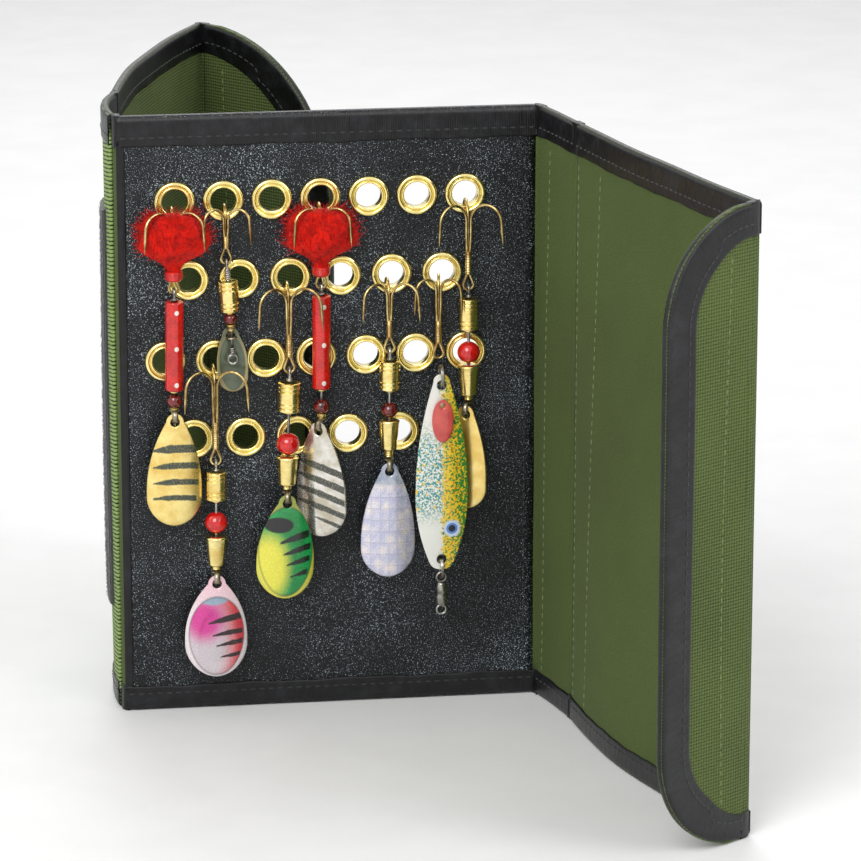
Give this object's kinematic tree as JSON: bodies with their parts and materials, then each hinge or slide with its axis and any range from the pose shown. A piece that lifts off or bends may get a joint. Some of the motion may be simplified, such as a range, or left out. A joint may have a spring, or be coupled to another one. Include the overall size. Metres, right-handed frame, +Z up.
{
  "type": "lure wallet",
  "caption": "Folding wallet with eyelet panel, standing half open, spinners and a spoon hooked in its eyelets.",
  "frame": {"origin": "middle of the eyelet panel's lower edge", "axes": "+X along the eyelet panel, -Y in front of it, +Z up"},
  "size_m": [0.1784, 0.3123, 0.195],
  "materials": {
    "leather": "pebbled, satin",
    "board": "stiff board",
    "canvas": "coarse weave",
    "lining": "fine weave",
    "binding": "glossy woven tape",
    "brass": "polished",
    "hook_tape": "hook tape",
    "loop_tape": "fuzzy loop tape",
    "hook_steel": "dark nickel",
    "wire_steel": "bright wire",
    "red_tube": "gloss",
    "brass_body": "polished",
    "dark_bead": "polished",
    "red_bead": "gloss",
    "gold_blade": "polished with dark bars",
    "olive_blade": "dull",
    "pink_blade": "gloss paint",
    "green_blade": "gloss paint",
    "silver_blade": "polished with dark bars",
    "square_blade": "polished with a square pattern",
    "spoon_paint": "speckled gloss paint"
  },
  "bodies": {
    "panel": {"panel_leather": "leather", "panel_board": "board", "panel_canvas": "canvas", "panel_binding": "binding", "eyelets": "brass"},
    "right_spine": {"right_spine_web": "canvas"},
    "right_wing": {"right_wing_lining": "lining", "right_wing_canvas": "canvas", "right_wing_binding": "binding"},
    "right_flap": {"right_flap_lining": "lining", "right_flap_canvas": "canvas", "right_flap_binding": "binding", "hook_strip": "hook_tape"},
    "left_spine": {"left_spine_web": "canvas", "loop_strip": "loop_tape"},
    "left_wing": {"left_wing_lining": "lining", "left_wing_canvas": "canvas", "left_wing_binding": "binding"},
    "left_flap": {"left_flap_lining": "lining", "left_flap_canvas": "canvas", "left_flap_binding": "binding"},
    "lure_1_hook": {"lure_1_treble": "hook_steel"},
    "lure_1": {"lure_1_shaft": "wire_steel", "lure_1_body": "red_tube", "lure_1_beads": "dark_bead"},
    "lure_1_blade": {"lure_1_blade": "gold_blade"},
    "lure_2": {"lure_2_treble": "hook_steel", "lure_2_shaft": "wire_steel", "lure_2_body": "brass_body", "lure_2_beads": "dark_bead"},
    "lure_2_blade": {"lure_2_blade": "olive_blade"},
    "lure_3_hook": {"lure_3_treble": "hook_steel"},
    "lure_3": {"lure_3_shaft": "wire_steel", "lure_3_body": "brass_body", "lure_3_beads": "red_bead"},
    "lure_3_blade": {"lure_3_blade": "pink_blade"},
    "lure_4_hook": {"lure_4_treble": "hook_steel"},
    "lure_4": {"lure_4_shaft": "wire_steel", "lure_4_body": "brass_body", "lure_4_beads": "red_bead"},
    "lure_4_blade": {"lure_4_blade": "green_blade"},
    "lure_5": {"lure_5_treble": "hook_steel", "lure_5_shaft": "wire_steel", "lure_5_body": "red_tube", "lure_5_beads": "dark_bead"},
    "lure_5_blade": {"lure_5_blade": "silver_blade"},
    "lure_6_hook": {"lure_6_treble": "hook_steel"},
    "lure_6": {"lure_6_shaft": "wire_steel", "lure_6_body": "brass_body", "lure_6_beads": "dark_bead"},
    "lure_6_blade": {"lure_6_blade": "square_blade"},
    "lure_8": {"lure_8_treble": "hook_steel", "lure_8_shaft": "wire_steel", "lure_8_body": "brass_body", "lure_8_beads": "red_bead"},
    "lure_8_blade": {"lure_8_blade": "gold_blade"},
    "lure_7_hook": {"lure_7_treble": "hook_steel"},
    "lure_7": {"lure_7_spoon": "spoon_paint", "lure_7_rings": "wire_steel", "lure_7_tag": "red_bead"}
  },
  "joints": [
    {"name": "right_spine_fold", "type": "hinge", "parent": "panel", "child": "right_spine", "pos_m": [0.06675, 0.0015, 0.0975], "axis": [0, 0, -1], "range_deg": [-165, 15]},
    {"name": "right_wing_fold", "type": "hinge", "parent": "right_spine", "child": "right_wing", "pos_m": [0.07426, -0.02651, 0.0975], "axis": [0, 0, -1], "range_deg": [-33, 82]},
    {"name": "right_flap_fold", "type": "hinge", "parent": "right_wing", "child": "right_flap", "pos_m": [0.10797, -0.13959, 0.0975], "axis": [0, 0, 1], "range_deg": [-18, 190]},
    {"name": "left_spine_fold", "type": "hinge", "parent": "panel", "child": "left_spine", "pos_m": [-0.06675, 0.0015, 0.0975], "axis": [0, 0, -1], "range_deg": [-183, 14]},
    {"name": "left_wing_fold", "type": "hinge", "parent": "left_spine", "child": "left_wing", "pos_m": [-0.06443, 0.03742, 0.0975], "axis": [0, 0, -1], "range_deg": [-104, 20]},
    {"name": "left_flap_fold", "type": "hinge", "parent": "left_wing", "child": "left_flap", "pos_m": [-0.02679, 0.14926, 0.0975], "axis": [0, 0, 1], "range_deg": [-3, 209]},
    {"name": "lure_1_swing", "type": "hinge", "parent": "panel", "child": "lure_1_hook", "pos_m": [-0.0497, 0.0006, 0.1632], "axis": [0, 1, 0], "range_deg": [0, 1.2]},
    {"name": "lure_1_tip", "type": "hinge", "parent": "lure_1_hook", "child": "lure_1", "pos_m": [-0.0497, -0.0046, 0.13903], "axis": [1, 0, 0], "range_deg": [-5, 0]},
    {"name": "lure_1_blade_turn", "type": "hinge", "parent": "lure_1", "child": "lure_1_blade", "pos_m": [-0.05029, -0.006, 0.098], "axis": [0.014, 0, 0.9999], "range_deg": [-30, 30]},
    {"name": "lure_2_swing", "type": "hinge", "parent": "panel", "child": "lure_2", "pos_m": [-0.0331, 0.0006, 0.1632], "axis": [0, 1, 0], "range_deg": [-0.6, 0.6]},
    {"name": "lure_2_blade_turn", "type": "hinge", "parent": "lure_2", "child": "lure_2_blade", "pos_m": [-0.03177, -0.0049, 0.12404], "axis": [-0.0523, 0, 0.9986], "range_deg": [-4, 6]},
    {"name": "lure_3_swing", "type": "hinge", "parent": "panel", "child": "lure_3_hook", "pos_m": [-0.03725, 0.0006, 0.1118], "axis": [0, 1, 0], "range_deg": [-0.6, 0.6]},
    {"name": "lure_3_tip", "type": "hinge", "parent": "lure_3_hook", "child": "lure_3", "pos_m": [-0.03725, -0.005, 0.08282], "axis": [1, 0, 0], "range_deg": [-10, 0]},
    {"name": "lure_3_blade_turn", "type": "hinge", "parent": "lure_3", "child": "lure_3_blade", "pos_m": [-0.03767, -0.0062, 0.0442], "axis": [0.0105, 0, 0.9999], "range_deg": [-20, 20]},
    {"name": "lure_4_swing", "type": "hinge", "parent": "panel", "child": "lure_4_hook", "pos_m": [-0.0136, 0.0006, 0.1379], "axis": [0, 1, 0], "range_deg": [-0.4, 0.5]},
    {"name": "lure_4_tip", "type": "hinge", "parent": "lure_4_hook", "child": "lure_4", "pos_m": [-0.0136, -0.005, 0.11213], "axis": [1, 0, 0], "range_deg": [-10, 0]},
    {"name": "lure_4_blade_turn", "type": "hinge", "parent": "lure_4", "child": "lure_4_blade", "pos_m": [-0.01497, -0.0066, 0.07002], "axis": [0.0314, 0, 0.9995], "range_deg": [-30, 4]},
    {"name": "lure_5_swing", "type": "hinge", "parent": "panel", "child": "lure_5", "pos_m": [-0.0032, 0.0006, 0.1632], "axis": [0, 1, 0], "range_deg": [-0.8, 0.1]},
    {"name": "lure_5_blade_turn", "type": "hinge", "parent": "lure_5", "child": "lure_5_blade", "pos_m": [-0.00353, -0.0052, 0.0932], "axis": [0.007, 0, 1], "range_deg": [0, 11]},
    {"name": "lure_6_swing", "type": "hinge", "parent": "panel", "child": "lure_6_hook", "pos_m": [0.0184, 0.0006, 0.1379], "axis": [0, 1, 0], "range_deg": [-0.8, 1]},
    {"name": "lure_6_tip", "type": "hinge", "parent": "lure_6_hook", "child": "lure_6", "pos_m": [0.0184, -0.0044, 0.11732], "axis": [1, 0, 0], "range_deg": [-10, 0]},
    {"name": "lure_6_blade_turn", "type": "hinge", "parent": "lure_6", "child": "lure_6_blade", "pos_m": [0.01785, -0.006, 0.0792], "axis": [0.014, 0, 0.9999], "range_deg": [-30, 4]},
    {"name": "lure_8_swing", "type": "hinge", "parent": "panel", "child": "lure_8", "pos_m": [0.0435, 0.0006, 0.1632], "axis": [0, 1, 0], "range_deg": [-0.6, 0.6]},
    {"name": "lure_8_blade_turn", "type": "hinge", "parent": "lure_8", "child": "lure_8_blade", "pos_m": [0.0435, -0.0057, 0.097], "axis": [0, 0, 1], "range_deg": [-4, 10]},
    {"name": "lure_7_swing", "type": "hinge", "parent": "panel", "child": "lure_7_hook", "pos_m": [0.0342, 0.0006, 0.1379], "axis": [0, 1, 0], "range_deg": [-0.8, 0.8]},
    {"name": "lure_7_tip", "type": "hinge", "parent": "lure_7_hook", "child": "lure_7", "pos_m": [0.0342, -0.0035, 0.11463], "axis": [1, 0, 0], "range_deg": [-10, 0]}
  ]
}
